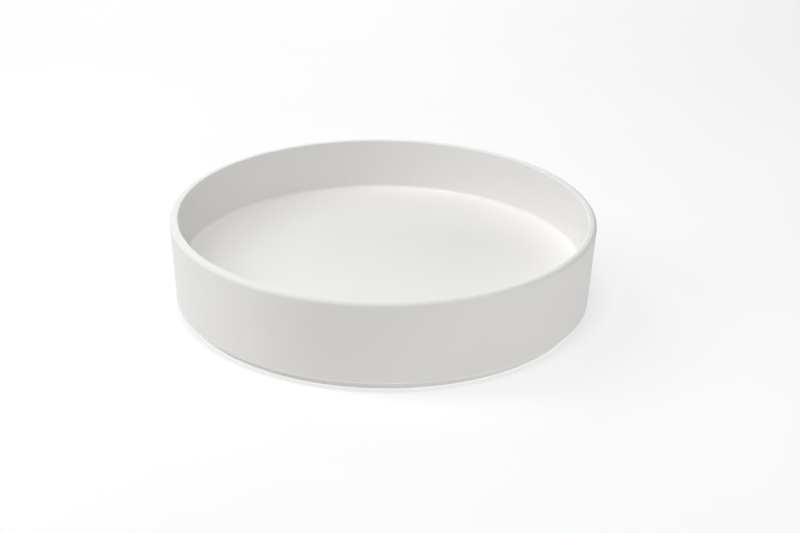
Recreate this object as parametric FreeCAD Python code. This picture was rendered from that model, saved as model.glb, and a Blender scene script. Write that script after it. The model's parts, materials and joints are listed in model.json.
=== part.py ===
import FreeCAD, Part
import math
import os

from FreeCAD import Vector

# Lazy susan turntable. A round tray with a tall, slightly drafted wall spins over a low base
# that hides inside the tray's skirt. Steel balls in a cage run between two screwed-down race
# rings, and a shoulder screw through the centre keeps the tray and the base together.
# Millimetres; origin at the centre of the footprint on the table, +Z up, the spin axis is Z.

# ---- tray ----
RIM_R = 140.15              # outer wall line carried up to the rim's top, before rounding
SKIRT_R = 136.5             # outer wall line at the skirt's lower edge
TRAY_TOP = 62.0             # rim above the table
SKIRT_Z = 6.1               # skirt's lower edge above the table
WALL_T = 5.6                # thickness of the rim
RIM_ROUND_OUT = 2.7         # the rim is well rounded outside
RIM_ROUND_IN = 1.1          # and only lightly inside
FLOOR_TOP = 27.4            # the surface that things stand on
FLOOR_R = 132.1             # where the floor meets the wall
FLOOR_T = 4.0
FLOOR_FILLET = 2.2
SKIRT_T = 3.6               # skirt's thickness at its lower edge
SKIRT_ROUND = 1.7
SKIRT_DRAFT = 0.4           # the skirt's inside narrows by this much towards the floor

# ---- base ----
BASE_R = 131.7
BASE_Z = 0.6                # underside of the base above the table; the feet reach down to 0
SHELL_T = 2.5
BASE_RIM_TOP = 12.0
BASE_DRAFT = 0.5            # the rim's sides lean in by this much over their height
BEND_IN = 0.7               # rounding inside the base's bends
BEND_OUT = 1.2              # and outside them
HAT_MARGIN = 2.0            # the raised ring under the lower race is this much wider inside it
EAR_MARGIN = 0.5            # and this much wider beyond the ears
HUB_TOP = 9.0
BASE_BOSS_TOP = 15.0

# ---- feet, round rubber discs in shallow seats ----
FOOT_COUNT = 6
FOOT_R = 9.0
FOOT_T = 2.0
FOOT_CIRCLE_R = 115.0
FOOT_CLEARANCE = 0.1

# ---- ball ring ----
BALL_COUNT = 16
BALL_R = 3.0
BALL_CIRCLE_R = 80.0
BALL_Z = 15.0
BALL_CLEARANCE = 0.05       # between a ball and the bottom of each groove
GROOVE_R = 3.2
RACE_HALF_W = 6.0
RACE_FACE = 1.8             # from the balls' plane to the face of each race
RACE_SEAT = 5.2             # from the balls' plane to the back of each race
EAR_COUNT = 6
EAR_CIRCLE_R = 92.5
EAR_R = 5.0
EAR_T = 2.2
CAGE_T = 2.6
CAGE_HALF_W = 5.2
POCKET_R = 3.12
SLOT_R = 1.9                # half the width of the lightening slots between the pockets
SLOT_SHARE = 0.38           # each slot's share of the way from one ball to the next

# ---- race screws, pan-head and cross-slotted ----
EAR_HOLE_R = 1.7
SCREW_CREST_R = 1.5
SCREW_ROOT_R = 1.15
SCREW_PITCH = 1.1
SCREW_LENGTH = 7.2
SCREW_NECK = 1.2            # plain length under the head
SCREW_TIP = 1.1
SCREW_TIP_R = 0.3
SCREW_HEAD_R = 3.0
SCREW_HEAD_T = 1.9
SCREW_HEAD_EDGE = 1.0       # height of the head's straight side
SCREW_CROWN = 0.8           # how far the head draws in towards its face
CROSS_DEPTH = 1.1
CROSS_ARM = 1.6
CROSS_WIDTH = 0.7
PILOT_R = 1.52
PILOT_END = 0.4             # how far each pilot hole runs past the screw's tip
BOSS_R = 4.0

# ---- centre pivot ----
SHOULDER_R = 3.0
RUNNING = 0.05              # radial running clearance of the shoulder in the bush
PIVOT_HEAD_R = 6.0
PIVOT_HEAD_T = 1.5
PIVOT_CREST_R = 2.0
PIVOT_ROOT_R = 1.65
PIVOT_PITCH = 0.7
PIVOT_THREAD_TOP = 22.0
PIVOT_TIP = 0.3
SOCKET_R = 2.3              # hexagon socket, to its corners
SOCKET_DEPTH = 2.3
BUSH_R = 5.0
BUSH_FLANGE_R = 9.0
BUSH_FLANGE_T = 1.2
BUSH_TOP = 15.2
WASHER_R = 8.5
WASHER_T = 1.0
WASHER_CLEARANCE = 0.1
AXIAL_PLAY = 0.2            # how far the tray can lift before the washer meets the bush
PIVOT_BOSS_R = 8.0
TRAY_BOSS_END = 16.0        # lower end of the boss under the tray
INSERT_R = 3.25
INSERT_TOP = 22.6
INSERT_BORE_CLEARANCE = 0.05
INSERT_BORE_TOP = 24.0      # the boss's blind hole ends here
KNURL_H = 2.6
WAIST_DEPTH = 0.35
CAP_R = 12.0
CAP_T = 1.3
CAP_LIP_T = 1.2
CAP_LIP_H = 1.6
CAP_CLEARANCE = 0.03
CAP_RECESS = 0.1            # the cap sits this far above the base's underside

# ---- ribs and seats ----
RIB_T = 1.6
OUTER_RIBS = 12
INNER_RIBS = 6
TRAY_RIB_DEPTH = 5.0
BASE_RIB_H = 4.5
CHANNEL_RIBS = 12           # under the base, across the channel below the lower race
CHANNEL_RIB_INSET = 0.8     # they stop this far above the base's underside
SEAT_RING_T = 2.0           # the two rings under the tray that the upper race sits on
SEAT_RING_INSET = 1.0

# ---- small sizes shared by several pieces ----
EDGE = 0.4                  # rounding of small outer edges
FINE_EDGE = 0.2             # rounding of the smallest edges
BITE = 0.5                  # how far ribs and bosses run into the shell that they grow from
PAST = 1.0                  # how far a cutting tool runs past the face it cuts

# ---- worked out from the dimensions above ----
FLOOR_UNDER = FLOOR_TOP - FLOOR_T
UPPER_SEAT = BALL_Z + RACE_SEAT
LOWER_SEAT = BALL_Z - RACE_SEAT
SKIRT_IN = SKIRT_R - SKIRT_T
BASE_FLOOR = BASE_Z + SHELL_T
RACE_IN = BALL_CIRCLE_R - RACE_HALF_W
RACE_OUT = BALL_CIRCLE_R + RACE_HALF_W
HAT_IN = RACE_IN - HAT_MARGIN
HAT_OUT = EAR_CIRCLE_R + EAR_R + EAR_MARGIN
HAT_UNDER = LOWER_SEAT - SHELL_T
HUB_R = CAP_R + SHELL_T
HUB_UNDER = HUB_TOP - SHELL_T
FLANGE_UNDER = HUB_UNDER - BUSH_FLANGE_T
WASHER_TOP = FLANGE_UNDER - AXIAL_PLAY
PIVOT_HEAD_TOP = WASHER_TOP - WASHER_T
PIVOT_HEAD_LOW = PIVOT_HEAD_TOP - PIVOT_HEAD_T
PILOT_DEPTH = SCREW_LENGTH - EAR_T + PILOT_END
EAR_START = 180.0 / EAR_COUNT      # degrees: the ears stand half a step round from the feet
LONG_RIB_START = EAR_START / 2     # degrees: the long ribs run between the ears and the feet

UP = Vector(0, 0, 1)
ORIGIN = Vector(0, 0, 0)


def rounded_outline(corners):
    """A closed wire in the XZ plane through (r, z, rounding) corners."""
    points = [Vector(r, 0, z) for r, z, _ in corners]
    count = len(points)
    runs = []
    for i, (_, _, radius) in enumerate(corners):
        here = points[i]
        if radius <= 0:
            runs.append((here, here, None))
            continue
        to_last = (points[i - 1] - here).normalize()
        to_next = (points[(i + 1) % count] - here).normalize()
        half = to_last.getAngle(to_next) / 2
        reach = radius / math.tan(half)
        inward = (to_last + to_next).normalize()
        middle = here + inward * (radius / math.sin(half) - radius)
        runs.append((here + to_last * reach, here + to_next * reach, middle))
    edges = []
    for i, (start, end, middle) in enumerate(runs):
        if middle is not None:
            edges.append(Part.Arc(start, middle, end).toShape())
        following = runs[(i + 1) % count][0]
        if not following.isEqual(end, 1e-6):
            edges.append(Part.LineSegment(end, following).toShape())
    return Part.Wire(edges)


def turned(corners):
    """The solid that the outline sweeps round the Z axis."""
    return Part.Face(rounded_outline(corners)).revolve(ORIGIN, UP, 360)


def disc(radius, z_low, z_high, x=0.0):
    return Part.makeCylinder(radius, z_high - z_low, Vector(x, 0, z_low))


def ring(r_in, r_out, z_low, z_high):
    return disc(r_out, z_low, z_high).cut(disc(r_in, z_low, z_high))


def rib(r_from, r_to, z_low, z_high):
    return Part.makeBox(r_to - r_from, RIB_T, z_high - z_low, Vector(r_from, -RIB_T / 2, z_low))


def on_circle(shape, count, start=0.0):
    """Copies of a shape evenly round the Z axis, the first turned by start degrees."""
    copies = []
    for i in range(count):
        copy = shape.copy()
        copy.rotate(ORIGIN, UP, start + i * 360.0 / count)
        copies.append(copy)
    return copies


def mirrored(shape):
    """The same shape on the other side of the balls' plane."""
    return shape.mirror(Vector(0, 0, BALL_Z), UP)


def thread_rings(z_start, z_end, crest_r, root_r, pitch):
    """Outline corners of the thread's rings, between z_start and z_end."""
    corners = []
    for i in range(int((z_end - z_start) / pitch)):
        z = z_start + i * pitch
        for share, radius in ((0.0, root_r), (0.25, root_r), (0.55, crest_r), (0.7, crest_r)):
            corners.append((radius, z + share * pitch, 0))
    return corners


def make_tray_shell():
    return turned([
        (0, FLOOR_TOP, 0),
        (FLOOR_R, FLOOR_TOP, FLOOR_FILLET),
        (RIM_R - WALL_T, TRAY_TOP, RIM_ROUND_IN),
        (RIM_R, TRAY_TOP, RIM_ROUND_OUT),
        (SKIRT_R, SKIRT_Z, SKIRT_ROUND),
        (SKIRT_IN, SKIRT_Z, SKIRT_ROUND),
        (SKIRT_IN - SKIRT_DRAFT, FLOOR_UNDER, FLOOR_FILLET),
        (0, FLOOR_UNDER, 0),
    ])


def make_tray():
    """The tray, with the race's seat rings, screw bosses, pivot boss and ribs under its floor."""
    root = FLOOR_UNDER + BITE
    seat_in = RACE_IN + SEAT_RING_INSET
    seat_out = RACE_OUT - SEAT_RING_INSET
    rib_low = FLOOR_UNDER - TRAY_RIB_DEPTH
    boss = disc(BOSS_R, UPPER_SEAT, root, EAR_CIRCLE_R)
    long_rib = rib(seat_out - SEAT_RING_T / 2, SKIRT_IN + BITE, rib_low, root)
    short_rib = rib(PIVOT_BOSS_R - BITE, seat_in + SEAT_RING_T / 2, rib_low, root)
    added = [
        ring(seat_in, seat_in + SEAT_RING_T, UPPER_SEAT, root),
        ring(seat_out - SEAT_RING_T, seat_out, UPPER_SEAT, root),
        disc(PIVOT_BOSS_R, TRAY_BOSS_END, root),
    ]
    added += on_circle(boss, EAR_COUNT, EAR_START)
    added += on_circle(long_rib, OUTER_RIBS, LONG_RIB_START)
    added += on_circle(short_rib, INNER_RIBS)
    # the ribs stop level with the seat where they cross the race and its ears
    race_space = ring(RACE_IN - PAST, HAT_OUT, rib_low - PAST, UPPER_SEAT)
    insert_bore = disc(INSERT_R, TRAY_BOSS_END - PAST, INSERT_BORE_TOP)
    pilot = disc(PILOT_R, UPPER_SEAT - PAST, UPPER_SEAT + PILOT_DEPTH, EAR_CIRCLE_R)
    cuts = [race_space, insert_bore] + on_circle(pilot, EAR_COUNT, EAR_START)
    return make_tray_shell().multiFuse(added).cut(cuts).removeSplitter()


def make_base_shell():
    """A dish with a raised ring under the lower race and a raised hub at its centre."""
    rim_in = BASE_R - SHELL_T
    rim_round = SHELL_T / 2 - FINE_EDGE
    return turned([
        (0, HUB_UNDER, 0),
        (CAP_R, HUB_UNDER, 0),
        (CAP_R, BASE_Z, EDGE),
        (HAT_IN, BASE_Z, BEND_IN),
        (HAT_IN, HAT_UNDER, BEND_IN),
        (HAT_OUT, HAT_UNDER, BEND_IN),
        (HAT_OUT, BASE_Z, BEND_IN),
        (BASE_R, BASE_Z, BEND_OUT),
        (BASE_R - BASE_DRAFT, BASE_RIM_TOP, rim_round),
        (rim_in - BASE_DRAFT, BASE_RIM_TOP, rim_round),
        (rim_in, BASE_FLOOR, BEND_OUT),
        (HAT_OUT + SHELL_T, BASE_FLOOR, BEND_OUT),
        (HAT_OUT + SHELL_T, LOWER_SEAT, BEND_OUT),
        (HAT_IN - SHELL_T, LOWER_SEAT, BEND_OUT),
        (HAT_IN - SHELL_T, BASE_FLOOR, BEND_OUT),
        (HUB_R, BASE_FLOOR, BEND_OUT),
        (HUB_R, HUB_TOP, BEND_OUT),
        (0, HUB_TOP, 0),
    ])


def make_base():
    """The base, with its bush tube, screw bosses, ribs and seats for the feet."""
    channel_low = BASE_Z + CHANNEL_RIB_INSET
    root = BASE_FLOOR - BITE
    rib_top = BASE_FLOOR + BASE_RIB_H
    boss_low = LOWER_SEAT - PILOT_DEPTH - PAST
    boss = disc(BOSS_R, boss_low, HAT_UNDER + BITE, EAR_CIRCLE_R)
    long_rib = rib(HAT_OUT + SHELL_T - BITE, BASE_R - SHELL_T + BITE, root, rib_top)
    short_rib = rib(HUB_R - BITE, HAT_IN - SHELL_T + BITE, root, rib_top)
    channel_rib = rib(HAT_IN - BITE, HAT_OUT + BITE, channel_low, HAT_UNDER + BITE)
    added = [disc(PIVOT_BOSS_R, HUB_TOP - BITE, BASE_BOSS_TOP)]
    added += on_circle(boss, EAR_COUNT, EAR_START)
    added += on_circle(channel_rib, CHANNEL_RIBS, LONG_RIB_START)
    added += on_circle(long_rib, OUTER_RIBS, LONG_RIB_START)
    added += on_circle(short_rib, INNER_RIBS)
    bush_bore = disc(BUSH_R, HUB_UNDER - PAST, BASE_BOSS_TOP + PAST)
    pilot = disc(PILOT_R, LOWER_SEAT - PILOT_DEPTH, LOWER_SEAT + PAST, EAR_CIRCLE_R)
    foot_seat = disc(FOOT_R + FOOT_CLEARANCE, BASE_Z - PAST, FOOT_T, FOOT_CIRCLE_R)
    cuts = [bush_bore] + on_circle(pilot, EAR_COUNT, EAR_START) + on_circle(foot_seat, FOOT_COUNT)
    return make_base_shell().multiFuse(added).cut(cuts).removeSplitter()


def make_lower_race():
    """A grooved ring with six ears. The upper race is the same ring upside down."""
    face_z = BALL_Z - RACE_FACE
    body = turned([
        (RACE_IN, LOWER_SEAT, FINE_EDGE),
        (RACE_OUT, LOWER_SEAT, FINE_EDGE),
        (RACE_OUT, face_z, EDGE),
        (RACE_IN, face_z, EDGE),
    ])
    neck_from = RACE_OUT - PAST
    neck = Part.makeBox(EAR_CIRCLE_R - neck_from, 2 * EAR_R, EAR_T,
                        Vector(neck_from, -EAR_R, LOWER_SEAT))
    ear = disc(EAR_R, LOWER_SEAT, LOWER_SEAT + EAR_T, EAR_CIRCLE_R).fuse(neck)
    hole = disc(EAR_HOLE_R, LOWER_SEAT - PAST, LOWER_SEAT + EAR_T + PAST, EAR_CIRCLE_R)
    groove_z = BALL_Z - BALL_R - BALL_CLEARANCE + GROOVE_R
    groove = Part.makeTorus(BALL_CIRCLE_R, GROOVE_R, Vector(0, 0, groove_z))
    ears = on_circle(ear, EAR_COUNT, EAR_START)
    cuts = [groove] + on_circle(hole, EAR_COUNT, EAR_START)
    return body.multiFuse(ears).cut(cuts).removeSplitter()


def make_cage_slot(sweep):
    """The cutter of one curved slot, with round ends, that starts on +X."""
    z_low, z_high = BALL_Z - CAGE_T, BALL_Z + CAGE_T
    wedge = Part.makeCylinder(RACE_OUT, z_high - z_low, Vector(0, 0, z_low), UP, sweep)
    arc = ring(BALL_CIRCLE_R - SLOT_R, BALL_CIRCLE_R + SLOT_R, z_low, z_high).common(wedge)
    end = disc(SLOT_R, z_low, z_high, BALL_CIRCLE_R)
    other_end = end.copy()
    other_end.rotate(ORIGIN, UP, sweep)
    return arc.multiFuse([end, other_end])


def make_cage():
    r_in, r_out = BALL_CIRCLE_R - CAGE_HALF_W, BALL_CIRCLE_R + CAGE_HALF_W
    z_low, z_high = BALL_Z - CAGE_T / 2, BALL_Z + CAGE_T / 2
    body = turned([
        (r_in, z_low, EDGE),
        (r_out, z_low, EDGE),
        (r_out, z_high, EDGE),
        (r_in, z_high, EDGE),
    ])
    step = 360.0 / BALL_COUNT
    sweep = SLOT_SHARE * step
    pocket = Part.makeSphere(POCKET_R, Vector(BALL_CIRCLE_R, 0, BALL_Z))
    cuts = on_circle(pocket, BALL_COUNT)
    cuts += on_circle(make_cage_slot(sweep), BALL_COUNT, (step - sweep) / 2)
    return body.cut(cuts)


def make_balls():
    ball = Part.makeSphere(BALL_R, Vector(BALL_CIRCLE_R, 0, BALL_Z))
    return on_circle(ball, BALL_COUNT)


def make_upper_screw():
    """A tapping screw on the Z axis: its head's seat at z 0, its shank going up."""
    thread = thread_rings(SCREW_NECK, SCREW_LENGTH - SCREW_TIP, SCREW_CREST_R, SCREW_ROOT_R,
                          SCREW_PITCH)
    body = turned([
        (0, -SCREW_HEAD_T, 0),
        (SCREW_HEAD_R - SCREW_CROWN, -SCREW_HEAD_T, FINE_EDGE),
        (SCREW_HEAD_R, -SCREW_HEAD_EDGE, EDGE),
        (SCREW_HEAD_R, 0, 0),
        (SCREW_ROOT_R, 0, 0),
        *thread,
        (SCREW_ROOT_R, SCREW_LENGTH - SCREW_TIP, 0),
        (SCREW_TIP_R, SCREW_LENGTH, 0),
        (0, SCREW_LENGTH, 0),
    ])
    arm = Part.makeBox(CROSS_ARM, CROSS_WIDTH, CROSS_DEPTH + PAST,
                       Vector(0, -CROSS_WIDTH / 2, -SCREW_HEAD_T - PAST))
    return body.cut(on_circle(arm, 4))


def make_upper_screws():
    screw = make_upper_screw()
    screw.translate(Vector(EAR_CIRCLE_R, 0, UPPER_SEAT - EAR_T))
    return Part.makeCompound(on_circle(screw, EAR_COUNT, EAR_START))


def make_pivot_screw():
    """The shoulder screw, with a hexagon socket in its head."""
    thread = thread_rings(TRAY_BOSS_END, PIVOT_THREAD_TOP - PIVOT_TIP, PIVOT_CREST_R,
                          PIVOT_ROOT_R, PIVOT_PITCH)
    body = turned([
        (0, PIVOT_HEAD_LOW, 0),
        (PIVOT_HEAD_R, PIVOT_HEAD_LOW, EDGE),
        (PIVOT_HEAD_R, PIVOT_HEAD_TOP, FINE_EDGE),
        (SHOULDER_R, PIVOT_HEAD_TOP, 0),
        (SHOULDER_R, TRAY_BOSS_END, 0),
        *thread,
        (PIVOT_ROOT_R, PIVOT_THREAD_TOP - PIVOT_TIP, 0),
        (PIVOT_ROOT_R - PIVOT_TIP, PIVOT_THREAD_TOP, 0),
        (0, PIVOT_THREAD_TOP, 0),
    ])
    corners = []
    for i in range(7):
        angle = math.radians(60 * i)
        corners.append(Vector(SOCKET_R * math.cos(angle), SOCKET_R * math.sin(angle),
                              PIVOT_HEAD_LOW - PAST))
    hexagon = Part.Face(Part.makePolygon(corners))
    return body.cut(hexagon.extrude(Vector(0, 0, SOCKET_DEPTH + PAST)))


def make_pivot_bush():
    bore_r = SHOULDER_R + RUNNING
    return turned([
        (bore_r, FLANGE_UNDER, FINE_EDGE),
        (BUSH_FLANGE_R, FLANGE_UNDER, FINE_EDGE),
        (BUSH_FLANGE_R, HUB_UNDER, FINE_EDGE),
        (BUSH_R, HUB_UNDER, 0),
        (BUSH_R, BUSH_TOP, EDGE),
        (bore_r, BUSH_TOP, FINE_EDGE),
    ])


def make_pivot_washer():
    bore_r = SHOULDER_R + WASHER_CLEARANCE
    return turned([
        (bore_r, PIVOT_HEAD_TOP, FINE_EDGE),
        (WASHER_R, PIVOT_HEAD_TOP, FINE_EDGE),
        (WASHER_R, WASHER_TOP, FINE_EDGE),
        (bore_r, WASHER_TOP, FINE_EDGE),
    ])


def make_threaded_insert():
    """A brass insert: two knurled bands with a waist between them."""
    bore_r = PIVOT_CREST_R + INSERT_BORE_CLEARANCE
    waist_r = INSERT_R - WAIST_DEPTH
    waist_low = TRAY_BOSS_END + KNURL_H
    waist_high = INSERT_TOP - KNURL_H
    return turned([
        (bore_r, TRAY_BOSS_END, FINE_EDGE),
        (INSERT_R, TRAY_BOSS_END, FINE_EDGE),
        (INSERT_R, waist_low, FINE_EDGE),
        (waist_r, waist_low + WAIST_DEPTH, 0),
        (waist_r, waist_high - WAIST_DEPTH, 0),
        (INSERT_R, waist_high, FINE_EDGE),
        (INSERT_R, INSERT_TOP, FINE_EDGE),
        (bore_r, INSERT_TOP, FINE_EDGE),
    ])


def make_pivot_cap():
    """The snap-in cap under the pivot, a shallow cup that opens upwards."""
    low = BASE_Z + CAP_RECESS
    outer_r = CAP_R - CAP_CLEARANCE
    lip_in = outer_r - CAP_LIP_T
    lip_top = low + CAP_T + CAP_LIP_H
    return turned([
        (0, low, 0),
        (outer_r, low, EDGE),
        (outer_r, lip_top, EDGE),
        (lip_in, lip_top, EDGE),
        (lip_in, low + CAP_T, EDGE),
        (0, low + CAP_T, 0),
    ])


def make_feet():
    foot = turned([
        (0, 0, 0),
        (FOOT_R, 0, EDGE),
        (FOOT_R, FOOT_T, FINE_EDGE),
        (0, FOOT_T, 0),
    ])
    foot.translate(Vector(FOOT_CIRCLE_R, 0, 0))
    return on_circle(foot, FOOT_COUNT)


def make_nodes():
    lower_race = make_lower_race()
    upper_screws = make_upper_screws()
    nodes = {
        "tray": make_tray(),
        "base": make_base(),
        "lower_race": lower_race,
        "upper_race": mirrored(lower_race),
        "lower_race_screws": mirrored(upper_screws),
        "upper_race_screws": upper_screws,
        "ball_cage": make_cage(),
        "pivot_screw": make_pivot_screw(),
        "pivot_bush": make_pivot_bush(),
        "pivot_washer": make_pivot_washer(),
        "threaded_insert": make_threaded_insert(),
        "pivot_cap": make_pivot_cap(),
    }
    for i, ball in enumerate(make_balls(), start=1):
        nodes[f"ball_{i:02d}"] = ball
    for i, foot in enumerate(make_feet(), start=1):
        nodes[f"foot_{i}"] = foot
    return nodes


os.makedirs("parts", exist_ok=True)
for name, shape in make_nodes().items():
    if not shape.isValid() or any(solid.Volume <= 0 for solid in shape.Solids):
        raise ValueError(f"{name} is not a valid solid")
    shape.exportStep(f"parts/{name}.step")
    print(f"{name}: {len(shape.Solids)} solid(s), {shape.Volume / 1000:.2f} cm3")
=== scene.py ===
import json
import math

import bmesh
import bpy
from mathutils import Matrix, Vector


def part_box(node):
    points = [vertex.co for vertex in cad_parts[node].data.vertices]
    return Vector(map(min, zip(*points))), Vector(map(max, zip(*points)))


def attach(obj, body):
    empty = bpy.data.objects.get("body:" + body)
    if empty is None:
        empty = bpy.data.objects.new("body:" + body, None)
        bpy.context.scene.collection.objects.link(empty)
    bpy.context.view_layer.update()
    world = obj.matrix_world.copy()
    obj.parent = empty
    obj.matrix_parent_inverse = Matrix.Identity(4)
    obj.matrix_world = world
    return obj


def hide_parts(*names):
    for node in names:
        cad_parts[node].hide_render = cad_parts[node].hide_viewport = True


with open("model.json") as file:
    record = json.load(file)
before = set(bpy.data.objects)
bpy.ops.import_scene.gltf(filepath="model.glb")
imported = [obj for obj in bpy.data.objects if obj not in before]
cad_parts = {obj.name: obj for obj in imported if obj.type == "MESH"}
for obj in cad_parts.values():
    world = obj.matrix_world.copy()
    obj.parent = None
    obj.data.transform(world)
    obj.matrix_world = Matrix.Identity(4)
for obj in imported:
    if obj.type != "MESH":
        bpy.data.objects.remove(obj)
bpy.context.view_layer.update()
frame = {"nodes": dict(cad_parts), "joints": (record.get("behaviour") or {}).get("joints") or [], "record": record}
NODES = frame["nodes"]
RECORD = frame["record"]

# ---------------------------------------------------------------- sizes, in metres
MM = 0.001
MOUNTS = {mount["name"]: mount for mount in RECORD["mounts"]}
JOINTS = {joint["name"]: joint for joint in frame["joints"]}
TRAY_LOW, TRAY_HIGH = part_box("tray")
BASE_LOW, BASE_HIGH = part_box("base")
FOOT_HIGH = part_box("foot_1")[1]
LOWER_RACE_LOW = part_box("lower_race")[0]
UPPER_RACE_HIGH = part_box("upper_race")[1]
CAP_LOW, CAP_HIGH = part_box("pivot_cap")
INSERT_LOW, INSERT_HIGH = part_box("threaded_insert")

# the tray: the outer wall's line at the rim and at the skirt's edge, as the CAD has them
RIM_R = 140.15 * MM
SKIRT_R = 136.5 * MM
WALL_T = 5.6 * MM
RIM_ROUND_OUT = 2.7 * MM
RIM_ROUND_IN = 1.1 * MM
TRAY_TOP = TRAY_HIGH.z
SKIRT_Z = TRAY_LOW.z
FLOOR_TOP = MOUNTS["tray_floor"]["pos_m"][2]
FLOOR_R = 132.1 * MM
FLOOR_T = 4.0 * MM
FLOOR_UNDER = FLOOR_TOP - FLOOR_T
FLOOR_FILLET = 2.2 * MM
SKIRT_T = 3.6 * MM
SKIRT_IN = SKIRT_R - SKIRT_T
SKIRT_ROUND = 1.7 * MM
SKIRT_DRAFT = 0.4 * MM
TRAY_RIB_DEPTH = 5.0 * MM
TRAY_RIB_GAP = 1.0 * MM      # between the race and the deep part of the short ribs
SEAT_RING_T = 2.0 * MM
SEAT_RING_INSET = 1.0 * MM

# the base
BASE_R = 131.7 * MM
BASE_Z = BASE_LOW.z
SHELL_T = 2.5 * MM
BASE_RIM_TOP = 12.0 * MM
BASE_DRAFT = 0.5 * MM
BASE_FLOOR = BASE_Z + SHELL_T
LOWER_SEAT = LOWER_RACE_LOW.z
UPPER_SEAT = UPPER_RACE_HIGH.z
HAT_IN = 72.0 * MM
HAT_OUT = 98.0 * MM
HAT_UNDER = LOWER_SEAT - SHELL_T
CAP_R = 12.0 * MM
HUB_R = CAP_R + SHELL_T
HUB_TOP = 9.0 * MM
HUB_UNDER = HUB_TOP - SHELL_T
BASE_BOSS_TOP = BASE_HIGH.z
BASE_RIB_H = 4.5 * MM
CHANNEL_RIBS = 12
CHANNEL_RIB_INSET = 0.8 * MM
BEND_IN = 0.7 * MM
BEND_OUT = 1.2 * MM

# what both have
BALL_CIRCLE_R = Vector(JOINTS["ball_01_roll"]["pos_m"][:2]).length
RACE_HALF_W = 6.0 * MM
EAR_COUNT = 6
EAR_CIRCLE_R = 92.5 * MM
EAR_START = math.pi / EAR_COUNT
BOSS_R = 4.0 * MM
PILOT_R = 1.52 * MM
PILOT_DEPTH = 5.4 * MM
BOSS_FLOOR = 1.0 * MM        # below each pilot hole in the base
PIVOT_BOSS_R = 8.0 * MM
BUSH_R = 5.0 * MM
INSERT_R = INSERT_HIGH.x
INSERT_BORE_SPARE = 1.4 * MM # the bore above the insert
INSERT_BORE_TOP = INSERT_HIGH.z + INSERT_BORE_SPARE
RIB_T = 1.6 * MM
OUTER_RIBS = 12
INNER_RIBS = 6
LONG_RIB_START = EAR_START / 2
BITE = 0.5 * MM
EDGE = 0.4 * MM
FINE_EDGE = 0.2 * MM

FOOT_COUNT = 6
FOOT_CIRCLE_R = MOUNTS["foot_face"]["pos_m"][0]
FOOT_R = FOOT_HIGH.x - FOOT_CIRCLE_R
FOOT_T = FOOT_HIGH.z
FOOT_CLEARANCE = 0.1 * MM

# detail finer than the CAD model's
TREADS = 3                   # rings on each foot, inside its outer land
TREAD_PITCH = 2.0 * MM
TREAD_DEPTH = 0.35 * MM
TREAD_SLOPE = 0.15 * MM
FOOT_LAND = 1.7 * MM         # width of the plain ring at each foot's edge
CAP_T = 1.3 * MM
CAP_LIP_T = 1.2 * MM
CAP_GROOVE_R = 8.6 * MM
CAP_GROOVE_W = 0.6 * MM
CAP_GROOVE_DEPTH = 0.3 * MM
CAP_NOTCH_W = 3.0 * MM
CAP_NOTCH_DEPTH = 1.0 * MM
CAP_NOTCH_H = 0.8 * MM
EJECTOR_R = 3.0 * MM         # ejector pins leave shallow discs in the base's underside
EJECTOR_DEPTH = 0.12 * MM
EJECTOR_RINGS = ((45.0 * MM, 0.0), (118.0 * MM, EAR_START))

# where the tray wears, where it is darker along the skirt's edge, and where shade is painted into the floor's
# corner
RIM_WEAR = (5.0 * MM, 1.0 * MM)          # below the rim's top: where it starts, where it is full
SKIRT_DARK_REACH = 3.0 * MM                    # the colour darkens this far up from the skirt's edge
CORNER_SHADE_REACH = (3.5 * MM, 1.0 * MM)       # painted shade, from the floor's corner: its reach, its full part
SCUFF_REACH = 0.4 * MM                   # up from the floor
SCUFF_TINT = 0.10
# the next tint darkens the skirt's edge and paints shade into the floor's corner
SKIRT_AND_CORNER_SHADE_TINT = 0.12
RIM_POLISH = 0.05
SCUFF_ROUGHNESS = 0.14
# the next roughness is added along the skirt's edge and in the floor's corner, where shade is painted
SKIRT_AND_CORNER_ROUGHNESS = 0.15
BALL_TRACK = (1.6 * MM, 0.6 * MM)        # from the balls' circle: its reach, its full part
FOOT_DUST = 0.5 * MM                     # up from the table

# ---------------------------------------------------------------- mesh tools
SEGMENTS = 256               # round the spin axis
CAP_SEGMENTS = 96
FOOT_SEGMENTS = 72
BOSS_SEGMENTS = 40
FILLET_STEPS = 8
BEVEL_STEPS = 2
HOLD = 0.25 * MM             # a loop this near each fillet keeps the flat beside it flat
SHORT_RUN = 6 * HOLD         # a shorter run is left whole
LONGEST_RUN = 10.0 * MM
ON_AXIS = 1e-9               # a smaller radius is a point on the spin axis
SHARP = math.radians(32)


def link(obj):
    bpy.context.scene.collection.objects.link(obj)
    return obj


def rounded_outline(corners):
    """Points (r, z) through (r, z, rounding) corners, with arcs and evenly cut long runs."""
    points = [Vector((r, z)) for r, z, _ in corners]
    count = len(points)
    outline = []
    for i, (_, _, radius) in enumerate(corners):
        here = points[i]
        if radius <= 0:
            outline.append(here)
            continue
        to_last = (points[i - 1] - here).normalized()
        to_next = (points[(i + 1) % count] - here).normalized()
        half = to_last.angle(to_next) / 2
        centre = here + (to_last + to_next).normalized() * (radius / math.sin(half))
        start = (here + to_last * (radius / math.tan(half)) - centre).normalized()
        end = (here + to_next * (radius / math.tan(half)) - centre).normalized()
        for step in range(FILLET_STEPS + 1):
            outline.append(centre + start.slerp(end, step / FILLET_STEPS) * radius)
    return cut_long_runs(outline)


def cut_long_runs(outline):
    """The same outline with loops near both ends of each long run and evenly along it."""
    points = []
    for i, here in enumerate(outline):
        following = outline[(i + 1) % len(outline)]
        run = following - here
        points.append(here)
        if run.length < SHORT_RUN or (here.x == 0 and following.x == 0):
            continue
        ends = HOLD / run.length
        pieces = max(1, math.ceil(run.length / LONGEST_RUN))
        for step in range(pieces + 1):
            points.append(here + run * (ends + (1 - 2 * ends) * step / pieces))
    return points


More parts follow.
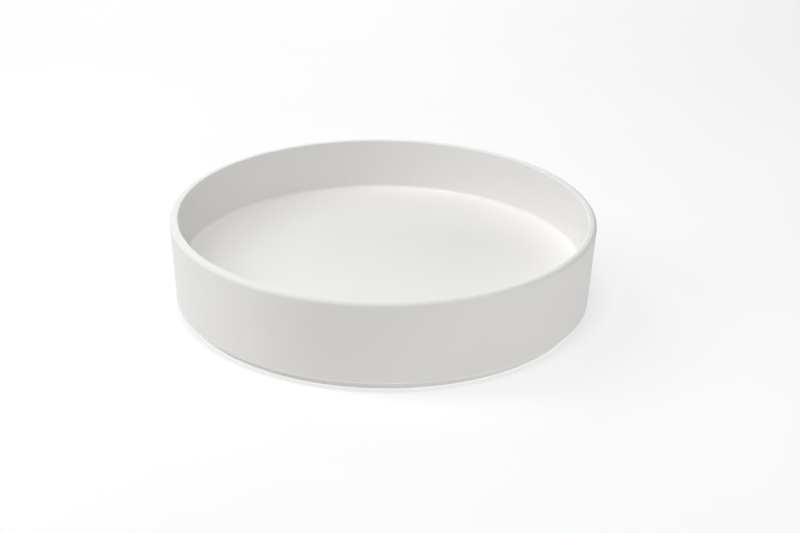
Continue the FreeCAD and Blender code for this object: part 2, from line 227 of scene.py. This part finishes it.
def lathe(mesh, outline, segments=SEGMENTS):
    """Adds the solid that a closed (r, z) outline sweeps round the Z axis."""
    loops = []
    for r, z in outline:
        if r < ON_AXIS:
            loops.append([mesh.verts.new((0, 0, z))] * segments)
            continue
        loop = []
        for i in range(segments):
            angle = 2 * math.pi * i / segments
            loop.append(mesh.verts.new((r * math.cos(angle), r * math.sin(angle), z)))
        loops.append(loop)
    for i, loop in enumerate(loops):
        other = loops[(i + 1) % len(loops)]
        if loop[0] is loop[1] and other[0] is other[1]:
            continue
        for j in range(segments):
            k = (j + 1) % segments
            corners = []
            for vertex in (loop[j], loop[k], other[k], other[j]):
                if vertex not in corners:
                    corners.append(vertex)
            mesh.faces.new(corners)


def join_into(mesh, part, place=Matrix.Identity(4)):
    """Adds one bmesh to another, moved to its place, and frees it."""
    part.transform(place)
    copy = bpy.data.meshes.new("copy")
    part.to_mesh(copy)
    part.free()
    mesh.from_mesh(copy)
    bpy.data.meshes.remove(copy)


def box_into(mesh, low, high, turn):
    """Adds a box with softened edges, turned round the Z axis."""
    size = Vector(high) - Vector(low)
    centre = (Vector(high) + Vector(low)) / 2
    part = bmesh.new()
    place = Matrix.Translation(centre) @ Matrix.Diagonal((*size, 1))
    bmesh.ops.create_cube(part, size=1, matrix=place)
    bmesh.ops.bevel(part, geom=part.edges, offset=FINE_EDGE, segments=BEVEL_STEPS,
                    affect="EDGES", profile=0.5)
    join_into(mesh, part, Matrix.Rotation(turn, 4, "Z"))


def spokes_into(mesh, r_from, r_to, z_low, z_high, count, start):
    """Adds radial ribs evenly round the Z axis."""
    for i in range(count):
        low = (r_from, -RIB_T / 2, z_low)
        high = (r_to, RIB_T / 2, z_high)
        box_into(mesh, low, high, start + i * 2 * math.pi / count)


def turned_into(mesh, corners, segments=SEGMENTS, place=Matrix.Identity(4)):
    """Adds what an outline of (r, z, rounding) corners sweeps round the Z axis."""
    part = bmesh.new()
    lathe(part, rounded_outline(corners), segments)
    join_into(mesh, part, place)


def disc_into(mesh, radius, z_low, z_high, segments, place=Matrix.Identity(4)):
    """Adds a plain disc with sharp edges."""
    part = bmesh.new()
    lathe(part, [(0, z_low), (radius, z_low), (radius, z_high), (0, z_high)], segments)
    join_into(mesh, part, place)


def on_circle(radius, count, start=0.0):
    """Matrices that move a part from the axis to places evenly round a circle."""
    places = []
    for i in range(count):
        turn = Matrix.Rotation(start + i * 2 * math.pi / count, 4, "Z")
        places.append(turn @ Matrix.Translation((radius, 0, 0)))
    return places


def make_piece(name, mesh, material):
    """Turns a bmesh into an object with smooth faces and crisp corners."""
    bmesh.ops.recalc_face_normals(mesh, faces=mesh.faces)
    data = bpy.data.meshes.new(name)
    mesh.to_mesh(data)
    mesh.free()
    data.shade_smooth()
    data.set_sharp_from_angle(angle=SHARP)
    data.materials.append(material)
    return link(bpy.data.objects.new(name, data))


def cut_away(piece, cutter_mesh):
    """Takes the cutter's solids out of the piece."""
    cutter = make_piece("cutter", cutter_mesh, piece.data.materials[0])
    modifier = piece.modifiers.new("cut", "BOOLEAN")
    modifier.operation = "DIFFERENCE"
    modifier.solver = "EXACT"
    modifier.object = cutter
    graph = bpy.context.evaluated_depsgraph_get()
    cut = bpy.data.meshes.new_from_object(piece.evaluated_get(graph))
    piece.modifiers.clear()
    piece.data = cut
    cut.set_sharp_from_angle(angle=SHARP)
    bpy.data.objects.remove(cutter)


# ---------------------------------------------------------------- material tools
TONE_SPAN = (0.35, 0.65)                 # the part of a noise's range that sets a colour
GLOSS_SPAN = (0.3, 0.7)                  # and the part that sets a roughness or the floor's tone


def add(tree, kind, sockets=(), **settings):
    """Adds a node; sockets are (name or index, value or output socket) pairs."""
    node = tree.nodes.new(kind)
    for key, value in settings.items():
        setattr(node, key, value)
    for key, value in sockets:
        if isinstance(value, bpy.types.NodeSocket):
            tree.links.new(value, node.inputs[key])
        else:
            node.inputs[key].default_value = value
    return node


def calc(tree, operation, *values):
    node = add(tree, "ShaderNodeMath", enumerate(values), operation=operation)
    return node.outputs[0]


def blend_colours(tree, share, one, other):
    """A colour between one and other; each is a socket or a linear (r, g, b)."""
    node = tree.nodes.new("ShaderNodeMix")
    node.data_type = "RGBA"
    sockets = [s for s in node.inputs if s.enabled]
    for socket, value in zip(sockets, (share, one, other)):
        if isinstance(value, bpy.types.NodeSocket):
            tree.links.new(value, socket)
        elif isinstance(value, (int, float)):
            socket.default_value = value
        else:
            socket.default_value = (*value, 1)
    return [s for s in node.outputs if s.enabled][0]


def noise(tree, vector, scale, detail=3.0, roughness=0.5):
    """Noise whose patches are about 1/scale metres across, as a number round 0.5."""
    node = add(tree, "ShaderNodeTexNoise", [("Vector", vector), ("Scale", scale),
                                            ("Detail", detail), ("Roughness", roughness)])
    return node.outputs["Factor"] if "Factor" in node.outputs else node.outputs["Fac"]


def spread(tree, value, low, high, out_low=0.0, out_high=1.0):
    """Maps low..high to out_low..out_high, smoothly and without overshoot."""
    node = add(tree, "ShaderNodeMapRange", [("Value", value), ("From Min", low), ("From Max", high),
                                            ("To Min", out_low), ("To Max", out_high)],
               interpolation_type="SMOOTHSTEP")
    return node.outputs["Result"]


def place_of(tree):
    """Object coordinates, with the distance from the spin axis, the angle and the height."""
    vector = tree.nodes.new("ShaderNodeTexCoord").outputs["Object"]
    split = add(tree, "ShaderNodeSeparateXYZ", [(0, vector)])
    x, y, z = split.outputs
    radius = calc(tree, "SQRT", calc(tree, "ADD", calc(tree, "MULTIPLY", x, x),
                                     calc(tree, "MULTIPLY", y, y)))
    return vector, radius, calc(tree, "ARCTAN2", y, x), z


def drawn_into_rings(tree, radius, angle, across, along):
    """Coordinates that draw noise out into rings round the spin axis."""
    node = add(tree, "ShaderNodeCombineXYZ", [(0, calc(tree, "MULTIPLY", radius, across)),
                                              (1, calc(tree, "MULTIPLY", angle, along)),
                                              (2, 0.0)])
    return node.outputs[0]


def bumps(tree, layers):
    """A normal made of (height, depth in metres) layers, one on another."""
    normal = None
    for height, depth in layers:
        node = add(tree, "ShaderNodeBump", [("Height", height), ("Distance", depth)])
        if normal is not None:
            tree.links.new(normal, node.inputs["Normal"])
        normal = node.outputs["Normal"]
    return normal


def new_material(name):
    material = bpy.data.materials.new(name)
    material.use_nodes = True
    tree = material.node_tree
    return material, tree, tree.nodes["Principled BSDF"]


def connect(tree, shader, colour, roughness, normal):
    tree.links.new(colour, shader.inputs["Base Color"])
    tree.links.new(roughness, shader.inputs["Roughness"])
    tree.links.new(normal, shader.inputs["Normal"])


# ---------------------------------------------------------------- materials
def make_tray_plastic():
    """Satin white moulding: fine spark-eroded grain, worn round the floor and rim, darker along the skirt's edge,
    with shade painted into the floor's corner.
    """
    material, tree, shader = new_material("tray_plastic")
    place, radius, angle, height = place_of(tree)
    white = (0.905, 0.886, 0.857)
    shade = (0.893, 0.873, 0.843)
    # the darker tone that scuffs are tinted towards, which also paints shade into the floor's corner
    scuff_and_shade_tone = (0.700, 0.685, 0.660)
    tone = spread(tree, noise(tree, place, 14, 4), *TONE_SPAN)
    colour = blend_colours(tree, tone, shade, white)

    # rings that jars leave when the tray is loaded and turned
    rings = drawn_into_rings(tree, radius, angle, 900.0, 1.3)
    scuffs = spread(tree, noise(tree, rings, 1.0, 5, 0.6), 0.60, 0.74)
    patches = spread(tree, noise(tree, place, 22, 2), 0.48, 0.62)
    on_floor = spread(tree, height, FLOOR_TOP + SCUFF_REACH, FLOOR_TOP, 0, 1)
    scuffed = calc(tree, "MULTIPLY", calc(tree, "MULTIPLY", scuffs, patches), on_floor)

    # hands polish the rim; the colour is darker along the skirt's edge, and shade is painted into the floor's
    # corner
    rim = spread(tree, height, TRAY_TOP - RIM_WEAR[0], TRAY_TOP - RIM_WEAR[1])
    skirt = spread(tree, height, SKIRT_Z + SKIRT_DARK_REACH, SKIRT_Z, 0, 1)
    in_from_corner = calc(tree, "POWER", calc(tree, "SUBTRACT", radius, FLOOR_R), 2.0)
    up_from_corner = calc(tree, "POWER", calc(tree, "SUBTRACT", height, FLOOR_TOP), 2.0)
    from_corner = calc(tree, "SQRT", calc(tree, "ADD", in_from_corner, up_from_corner))
    corner_shade = spread(tree, from_corner, *CORNER_SHADE_REACH, 0, 1)
    skirt_darkening_and_corner_shade = calc(tree, "MULTIPLY", calc(tree, "MAXIMUM", skirt, corner_shade),
                 spread(tree, noise(tree, place, 260, 4), 0.42, 0.72))
    colour = blend_colours(tree, calc(tree, "MULTIPLY", scuffed, SCUFF_TINT), colour, scuff_and_shade_tone)
    # painted shade in the floor's corner, and a darker skirt's edge
    colour = blend_colours(tree, calc(tree, "MULTIPLY", skirt_darkening_and_corner_shade, SKIRT_AND_CORNER_SHADE_TINT), colour, scuff_and_shade_tone)

    roughness = spread(tree, noise(tree, place, 120, 5), *GLOSS_SPAN, 0.54, 0.62)
    roughness = calc(tree, "SUBTRACT", roughness, calc(tree, "MULTIPLY", rim, RIM_POLISH))
    roughness = calc(tree, "ADD", roughness, calc(tree, "MULTIPLY", scuffed, SCUFF_ROUGHNESS))
    roughness = calc(tree, "ADD", roughness, calc(tree, "MULTIPLY", skirt_darkening_and_corner_shade, SKIRT_AND_CORNER_ROUGHNESS))
    grain = noise(tree, place, 3200, 2)
    flow = noise(tree, place, 45, 2)
    normal = bumps(tree, [(flow, 0.020 * MM), (grain, 0.008 * MM), (scuffed, -0.006 * MM)])
    connect(tree, shader, colour, roughness, normal)
    shader.inputs["IOR"].default_value = 1.49
    return material


def make_moulded_plastic(name, light, dark, roughness, grain_size, grain_depth):
    """A plain moulded plastic with grain, slow tone changes and rubbed patches."""
    material, tree, shader = new_material(name)
    place = place_of(tree)[0]
    tone = spread(tree, noise(tree, place, 30, 4), *TONE_SPAN)
    rubbed = spread(tree, noise(tree, place, 160, 6, 0.65), 0.56, 0.70)
    colour = blend_colours(tree, tone, dark, light)
    rough = spread(tree, noise(tree, place, 240, 5), *GLOSS_SPAN, roughness - 0.05, roughness + 0.05)
    rough = calc(tree, "SUBTRACT", rough, calc(tree, "MULTIPLY", rubbed, 0.08))
    grain = noise(tree, place, 1 / grain_size, 3)
    normal = bumps(tree, [(grain, grain_depth)])
    connect(tree, shader, colour, rough, normal)
    return material


def make_base_plastic():
    return make_moulded_plastic("base_plastic", (0.910, 0.893, 0.866), (0.893, 0.875, 0.847),
                                0.46, 0.4 * MM, 0.014 * MM)


def make_cage_plastic():
    return make_moulded_plastic("cage_plastic", (0.045, 0.048, 0.052), (0.030, 0.032, 0.036),
                                0.50, 0.3 * MM, 0.012 * MM)


def make_bush_plastic():
    return make_moulded_plastic("bush_plastic", (0.64, 0.62, 0.54), (0.58, 0.56, 0.48),
                                0.34, 0.5 * MM, 0.006 * MM)


def make_race_plastic():
    """Acetal with a grey polished track where the balls run."""
    material, tree, shader = new_material("race_plastic")
    place, radius, angle, _ = place_of(tree)
    tone = spread(tree, noise(tree, place, 40, 4), *TONE_SPAN)
    colour = blend_colours(tree, tone, (0.60, 0.585, 0.53), (0.66, 0.645, 0.59))
    off_track = calc(tree, "ABSOLUTE", calc(tree, "SUBTRACT", radius, BALL_CIRCLE_R))
    track = spread(tree, off_track, *BALL_TRACK, 0, 1)
    lines = drawn_into_rings(tree, radius, angle, 6000.0, 2.0)
    wear = calc(tree, "MULTIPLY", track, spread(tree, noise(tree, lines, 1, 4), 0.3, 0.6))
    colour = blend_colours(tree, calc(tree, "MULTIPLY", wear, 0.7), colour, (0.25, 0.25, 0.245))
    rough = spread(tree, noise(tree, place, 300, 4), *GLOSS_SPAN, 0.34, 0.44)
    rough = calc(tree, "SUBTRACT", rough, calc(tree, "MULTIPLY", track, 0.18))
    normal = bumps(tree, [(noise(tree, place, 2500, 3), 0.008 * MM), (wear, -0.010 * MM)])
    connect(tree, shader, colour, rough, normal)
    return material


def make_metal(name, light, dark, roughness, scratch_depth):
    """A metal with slow tint changes, fine scratches and smudged gloss."""
    material, tree, shader = new_material(name)
    place = place_of(tree)[0]
    tint = spread(tree, noise(tree, place, 220, 4), *TONE_SPAN)
    colour = blend_colours(tree, tint, dark, light)
    rough = spread(tree, noise(tree, place, 600, 5), *GLOSS_SPAN, roughness * 0.7, roughness * 1.4)
    stretched = add(tree, "ShaderNodeVectorMath", [(0, place), (1, (400.0, 6000.0, 900.0))],
                    operation="MULTIPLY")
    scratches = noise(tree, stretched.outputs[0], 1, 4, 0.7)
    normal = bumps(tree, [(scratches, scratch_depth)])
    connect(tree, shader, colour, rough, normal)
    shader.inputs["Metallic"].default_value = 1.0
    return material


def make_ball_steel():
    return make_metal("ball_steel", (0.63, 0.63, 0.65), (0.55, 0.55, 0.57), 0.12, 0.002 * MM)


def make_plated_steel():
    return make_metal("plated_steel", (0.60, 0.61, 0.63), (0.47, 0.48, 0.47), 0.30, 0.006 * MM)


def make_insert_brass():
    """Brass with a straight knurl and a little tarnish."""
    material, tree, shader = new_material("insert_brass")
    place, _, angle, _ = place_of(tree)
    tarnish = spread(tree, noise(tree, place, 500, 5), 0.45, 0.70)
    colour = blend_colours(tree, tarnish, (0.72, 0.50, 0.20), (0.42, 0.29, 0.13))
    rough = spread(tree, noise(tree, place, 900, 4), *GLOSS_SPAN, 0.24, 0.42)
    knurl = calc(tree, "ABSOLUTE", calc(tree, "SINE", calc(tree, "MULTIPLY", angle, 24.0)))
    normal = bumps(tree, [(knurl, 0.15 * MM), (noise(tree, place, 4000, 2), 0.005 * MM)])
    connect(tree, shader, colour, rough, normal)
    shader.inputs["Metallic"].default_value = 1.0
    return material


def make_foot_rubber():
    """Matt grey rubber, dusty where it touches the table."""
    material, tree, shader = new_material("foot_rubber")
    place, _, _, height = place_of(tree)
    tone = spread(tree, noise(tree, place, 90, 4), *TONE_SPAN)
    colour = blend_colours(tree, tone, (0.26, 0.26, 0.265), (0.31, 0.31, 0.31))
    touching = spread(tree, height, FOOT_DUST, 0.0, 0, 1)
    dusty = calc(tree, "MULTIPLY", touching, spread(tree, noise(tree, place, 700, 5), 0.45, 0.7))
    colour = blend_colours(tree, calc(tree, "MULTIPLY", dusty, 0.6), colour, (0.50, 0.49, 0.47))
    rough = spread(tree, noise(tree, place, 400, 4), *GLOSS_SPAN, 0.70, 0.88)
    normal = bumps(tree, [(noise(tree, place, 2600, 3), 0.020 * MM), (dusty, 0.010 * MM)])
    connect(tree, shader, colour, rough, normal)
    return material


def make_materials():
    """One material for each of the record's slots."""
    makers = {
        "tray_plastic": make_tray_plastic,
        "base_plastic": make_base_plastic,
        "race_plastic": make_race_plastic,
        "cage_plastic": make_cage_plastic,
        "bush_plastic": make_bush_plastic,
        "ball_steel": make_ball_steel,
        "plated_steel": make_plated_steel,
        "insert_brass": make_insert_brass,
        "foot_rubber": make_foot_rubber,
    }
    return {slot: maker() for slot, maker in makers.items()}


# ---------------------------------------------------------------- pieces
def settle(piece, body, slot, *replaced):
    """Puts a piece on its body and hides the CAD nodes that it stands in for; slot is not used."""
    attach(piece, body)
    if replaced:
        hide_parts(*replaced)


def make_tray(material):
    """The bowl and skirt in one piece with the seat rings and pivot boss under the floor."""
    seat_in = BALL_CIRCLE_R - RACE_HALF_W + SEAT_RING_INSET
    seat_out = BALL_CIRCLE_R + RACE_HALF_W - SEAT_RING_INSET
    mesh = bmesh.new()
    turned_into(mesh, [
        (0, FLOOR_TOP, 0),
        (FLOOR_R, FLOOR_TOP, FLOOR_FILLET),
        (RIM_R - WALL_T, TRAY_TOP, RIM_ROUND_IN),
        (RIM_R, TRAY_TOP, RIM_ROUND_OUT),
        (SKIRT_R, SKIRT_Z, SKIRT_ROUND),
        (SKIRT_IN, SKIRT_Z, SKIRT_ROUND),
        (SKIRT_IN - SKIRT_DRAFT, FLOOR_UNDER, FLOOR_FILLET),
        (seat_out, FLOOR_UNDER, EDGE),
        (seat_out, UPPER_SEAT, FINE_EDGE),
        (seat_out - SEAT_RING_T, UPPER_SEAT, FINE_EDGE),
        (seat_out - SEAT_RING_T, FLOOR_UNDER, EDGE),
        (seat_in + SEAT_RING_T, FLOOR_UNDER, EDGE),
        (seat_in + SEAT_RING_T, UPPER_SEAT, FINE_EDGE),
        (seat_in, UPPER_SEAT, FINE_EDGE),
        (seat_in, FLOOR_UNDER, EDGE),
        (PIVOT_BOSS_R, FLOOR_UNDER, EDGE),
        (PIVOT_BOSS_R, INSERT_LOW.z, FINE_EDGE),
        (INSERT_R, INSERT_LOW.z, 0),
        (INSERT_R, INSERT_BORE_TOP, 0),
        (0, INSERT_BORE_TOP, 0),
    ])
    settle(make_piece("tray_shell", mesh, material), "tray", "tray_plastic", "tray")

    rib_low = FLOOR_UNDER - TRAY_RIB_DEPTH
    root = FLOOR_UNDER + BITE
    deep_end = BALL_CIRCLE_R - RACE_HALF_W - TRAY_RIB_GAP
    ribs = bmesh.new()
    spokes_into(ribs, HAT_OUT, SKIRT_IN, rib_low, root, OUTER_RIBS, LONG_RIB_START)
    spokes_into(ribs, seat_out - SEAT_RING_T / 2, HAT_OUT + BITE, UPPER_SEAT, root, OUTER_RIBS,
                LONG_RIB_START)
    spokes_into(ribs, PIVOT_BOSS_R - BITE, deep_end, rib_low, root, INNER_RIBS, 0)
    spokes_into(ribs, deep_end - BITE, seat_in + SEAT_RING_T / 2, UPPER_SEAT, root, INNER_RIBS, 0)
    settle(make_piece("tray_ribs", ribs, material), "tray", "tray_plastic")

    bosses = bmesh.new()
    for place in on_circle(EAR_CIRCLE_R, EAR_COUNT, EAR_START):
        turned_into(bosses, [
            (PILOT_R, UPPER_SEAT, 0),
            (BOSS_R, UPPER_SEAT, FINE_EDGE),
            (BOSS_R, root, 0),
            (PILOT_R, root, 0),
        ], BOSS_SEGMENTS, place)
    settle(make_piece("tray_bosses", bosses, material), "tray", "tray_plastic")


def make_base(material):
    """The dish with its raised ring and hub, the foot seats and marks cut in its underside."""
    rim_in = BASE_R - SHELL_T
    rim_round = SHELL_T / 2 - FINE_EDGE
    mesh = bmesh.new()
    turned_into(mesh, [
        (BUSH_R, HUB_UNDER, 0),
        (CAP_R, HUB_UNDER, 0),
        (CAP_R, BASE_Z, EDGE),
        (HAT_IN, BASE_Z, BEND_IN),
        (HAT_IN, HAT_UNDER, BEND_IN),
        (HAT_OUT, HAT_UNDER, BEND_IN),
        (HAT_OUT, BASE_Z, BEND_IN),
        (BASE_R, BASE_Z, BEND_OUT),
        (BASE_R - BASE_DRAFT, BASE_RIM_TOP, rim_round),
        (rim_in - BASE_DRAFT, BASE_RIM_TOP, rim_round),
        (rim_in, BASE_FLOOR, BEND_OUT),
        (HAT_OUT + SHELL_T, BASE_FLOOR, BEND_OUT),
        (HAT_OUT + SHELL_T, LOWER_SEAT, BEND_OUT),
        (HAT_IN - SHELL_T, LOWER_SEAT, BEND_OUT),
        (HAT_IN - SHELL_T, BASE_FLOOR, BEND_OUT),
        (HUB_R, BASE_FLOOR, BEND_OUT),
        (HUB_R, HUB_TOP, BEND_OUT),
        (PIVOT_BOSS_R, HUB_TOP, EDGE),
        (PIVOT_BOSS_R, BASE_BOSS_TOP, EDGE),
        (BUSH_R, BASE_BOSS_TOP, 0),
    ])
    shell = make_piece("base_shell", mesh, material)
    cutter = bmesh.new()
    for place in on_circle(FOOT_CIRCLE_R, FOOT_COUNT):
        disc_into(cutter, FOOT_R + FOOT_CLEARANCE, BASE_Z - EDGE, FOOT_T, FOOT_SEGMENTS, place)
    for radius, start in EJECTOR_RINGS:
        for place in on_circle(radius, FOOT_COUNT, start):
            disc_into(cutter, EJECTOR_R, BASE_Z - EDGE, BASE_Z + EJECTOR_DEPTH, BOSS_SEGMENTS, place)
    for place in on_circle(EAR_CIRCLE_R, EAR_COUNT, EAR_START):
        disc_into(cutter, PILOT_R, LOWER_SEAT - PILOT_DEPTH, LOWER_SEAT + EDGE, BOSS_SEGMENTS, place)
    cut_away(shell, cutter)
    settle(shell, "base", "base_plastic", "base")

    root = BASE_FLOOR - BITE
    rib_top = BASE_FLOOR + BASE_RIB_H
    ribs = bmesh.new()
    spokes_into(ribs, HAT_OUT + SHELL_T - BITE, BASE_R - SHELL_T + BITE, root, rib_top, OUTER_RIBS,
                LONG_RIB_START)
    spokes_into(ribs, HUB_R - BITE, HAT_IN - SHELL_T + BITE, root, rib_top, INNER_RIBS, 0)
    spokes_into(ribs, HAT_IN - BITE, HAT_OUT + BITE, BASE_Z + CHANNEL_RIB_INSET, HAT_UNDER + BITE,
                CHANNEL_RIBS, LONG_RIB_START)
    settle(make_piece("base_ribs", ribs, material), "base", "base_plastic")

    pilot_low = LOWER_SEAT - PILOT_DEPTH
    bosses = bmesh.new()
    for place in on_circle(EAR_CIRCLE_R, EAR_COUNT, EAR_START):
        turned_into(bosses, [
            (0, pilot_low - BOSS_FLOOR, 0),
            (BOSS_R, pilot_low - BOSS_FLOOR, EDGE),
            (BOSS_R, HAT_UNDER + BITE, 0),
            (PILOT_R, HAT_UNDER + BITE, 0),
            (PILOT_R, pilot_low, 0),
            (0, pilot_low, 0),
        ], BOSS_SEGMENTS, place)
    settle(make_piece("base_bosses", bosses, material), "base", "base_plastic")


def make_cap(material):
    """The pivot's cap, with a ring moulded into its face and a notch to lever it out by."""
    outer_r = CAP_HIGH.x
    lip_in = outer_r - CAP_LIP_T
    face = CAP_LOW.z
    mesh = bmesh.new()
    turned_into(mesh, [
        (0, face, 0),
        (CAP_GROOVE_R, face, FINE_EDGE),
        (CAP_GROOVE_R, face + CAP_GROOVE_DEPTH, 0),
        (CAP_GROOVE_R + CAP_GROOVE_W, face + CAP_GROOVE_DEPTH, 0),
        (CAP_GROOVE_R + CAP_GROOVE_W, face, FINE_EDGE),
        (outer_r, face, EDGE),
        (outer_r, CAP_HIGH.z, EDGE),
        (lip_in, CAP_HIGH.z, EDGE),
        (lip_in, face + CAP_T, EDGE),
        (0, face + CAP_T, 0),
    ], CAP_SEGMENTS)
    cap = make_piece("pivot_cap_face", mesh, material)
    notch = bmesh.new()
    box_into(notch, (outer_r - CAP_NOTCH_DEPTH, -CAP_NOTCH_W / 2, face - EDGE),
             (outer_r + EDGE, CAP_NOTCH_W / 2, face + CAP_NOTCH_H), -math.pi / 2)
    cut_away(cap, notch)
    settle(cap, "base", "base_plastic", "pivot_cap")


def make_feet(material):
    """Rubber discs with rings of tread."""
    for i, place in enumerate(on_circle(FOOT_CIRCLE_R, FOOT_COUNT), start=1):
        corners = [(0, TREAD_DEPTH, 0)]
        for groove in range(TREADS):
            ridge = TREAD_PITCH * (groove + 0.5)
            corners += [
                (ridge, TREAD_DEPTH, 0),
                (ridge + TREAD_SLOPE, 0, TREAD_SLOPE / 2),
                (ridge + TREAD_PITCH / 2 + TREAD_SLOPE, 0, TREAD_SLOPE / 2),
                (ridge + TREAD_PITCH / 2 + 2 * TREAD_SLOPE, TREAD_DEPTH, 0),
            ]
        corners += [
            (FOOT_R - FOOT_LAND, TREAD_DEPTH, 0),
            (FOOT_R - FOOT_LAND + TREAD_SLOPE, 0, TREAD_SLOPE / 2),
            (FOOT_R, 0, EDGE),
            (FOOT_R, FOOT_T, FINE_EDGE),
            (0, FOOT_T, 0),
        ]
        mesh = bmesh.new()
        turned_into(mesh, corners, FOOT_SEGMENTS, place)
        settle(make_piece(f"foot_pad_{i}", mesh, material), "base", "foot_rubber", f"foot_{i}")


materials = make_materials()
for entry in RECORD["subparts"]:
    node = NODES[entry["node"]]
    node.data.materials.clear()
    node.data.materials.append(materials[entry["material_slot"]])
make_tray(materials["tray_plastic"])
make_base(materials["base_plastic"])
make_cap(materials["base_plastic"])
make_feet(materials["foot_rubber"])


# ---------------------------------------------------------------- studio
CAMERA_LENS = 95.0                      # mm
CAMERA_SENSOR = 36.0                    # mm wide
CAMERA_DISTANCE = 1.4127
CAMERA_ELEVATION = math.radians(25.12)
CAMERA_TURN = math.radians(0.468)
CAMERA_TILT = math.radians(0.884)
CAMERA_ROLL = math.radians(0.80)

FLOOR_GAP = 0.05 * MM                   # keeps the feet's faces and the floor apart
FLOOR_HALF = 4.0
FLOOR_GLOW = 0.62
WORLD_LIGHT = 0.10
DAYLIGHT = (0.964, 0.979, 1.0)
SOFTBOX_SIZE = 0.5
SOFTBOX_DISTANCE = 1.4
SOFTBOXES = {                           # name: azimuth, elevation, watts
    "left": (-90, 35, 5.0),
    "left_high": (-90, 60, 3.9),
    "front_high": (0, 70, 6.3),
    "overhead": (0, 90, 1.8),
    "back_left": (-150, 35, 2.2),
    "back_low": (180, 12, 3.7),
    "right_low": (60, 12, 2.4),
}


def make_camera():
    """A long lens in front of the object, looking down at it and a little to its right."""
    camera = link(bpy.data.objects.new("camera", bpy.data.cameras.new("camera")))
    camera.data.lens = CAMERA_LENS
    camera.data.sensor_width = CAMERA_SENSOR
    spot = Vector((0, -math.cos(CAMERA_ELEVATION), math.sin(CAMERA_ELEVATION))) * CAMERA_DISTANCE
    facing = Matrix.Rotation(math.pi / 2 - CAMERA_ELEVATION, 4, "X")
    aim = (Matrix.Rotation(-CAMERA_TURN, 4, "Y") @ Matrix.Rotation(CAMERA_TILT, 4, "X")
           @ Matrix.Rotation(CAMERA_ROLL, 4, "Z"))
    camera.matrix_world = Matrix.Translation(spot) @ facing @ aim
    bpy.context.scene.camera = camera


def make_floor():
    """A plain pale floor that glows a little, as a lit studio sweep does."""
    mesh = bmesh.new()
    bmesh.ops.create_grid(mesh, x_segments=8, y_segments=8, size=FLOOR_HALF)
    material, tree, shader = new_material("studio_floor")
    place = place_of(tree)[0]
    tone = spread(tree, noise(tree, place, 3, 3), *GLOSS_SPAN)
    colour = blend_colours(tree, tone, (0.39, 0.39, 0.39), (0.41, 0.41, 0.41))
    rough = spread(tree, noise(tree, place, 30, 3), *GLOSS_SPAN, 0.85, 0.95)
    connect(tree, shader, colour, rough, bumps(tree, [(noise(tree, place, 900, 2), 0.010 * MM)]))
    shader.inputs["Specular IOR Level"].default_value = 0.1
    shader.inputs["Emission Color"].default_value = (1, 1, 1, 1)
    shader.inputs["Emission Strength"].default_value = FLOOR_GLOW
    floor = make_piece("studio_floor", mesh, material)
    floor.location.z = -FLOOR_GAP


def make_softbox(name, azimuth, elevation, power):
    """A square softbox that faces the tray; azimuth 0 is the camera's side, 90 its right."""
    light = link(bpy.data.objects.new(name, bpy.data.lights.new(name, "AREA")))
    light.data.shape = "SQUARE"
    light.data.size = SOFTBOX_SIZE
    light.data.energy = power
    light.data.color = DAYLIGHT
    turn, rise = math.radians(azimuth), math.radians(elevation)
    away = Vector((math.sin(turn) * math.cos(rise), -math.cos(turn) * math.cos(rise),
                   math.sin(rise)))
    light.visible_camera = False
    light.location = away * SOFTBOX_DISTANCE
    light.rotation_euler = away.to_track_quat("Z", "Y").to_euler()


def make_studio():
    scene = bpy.context.scene
    scene.view_settings.view_transform = "Standard"
    world = bpy.data.worlds.new("studio")
    world.use_nodes = True
    world.node_tree.nodes["Background"].inputs["Color"].default_value = (*DAYLIGHT, 1)
    world.node_tree.nodes["Background"].inputs["Strength"].default_value = WORLD_LIGHT
    scene.world = world
    for name, placing in SOFTBOXES.items():
        make_softbox(name, *placing)
    make_floor()
    make_camera()


make_studio()
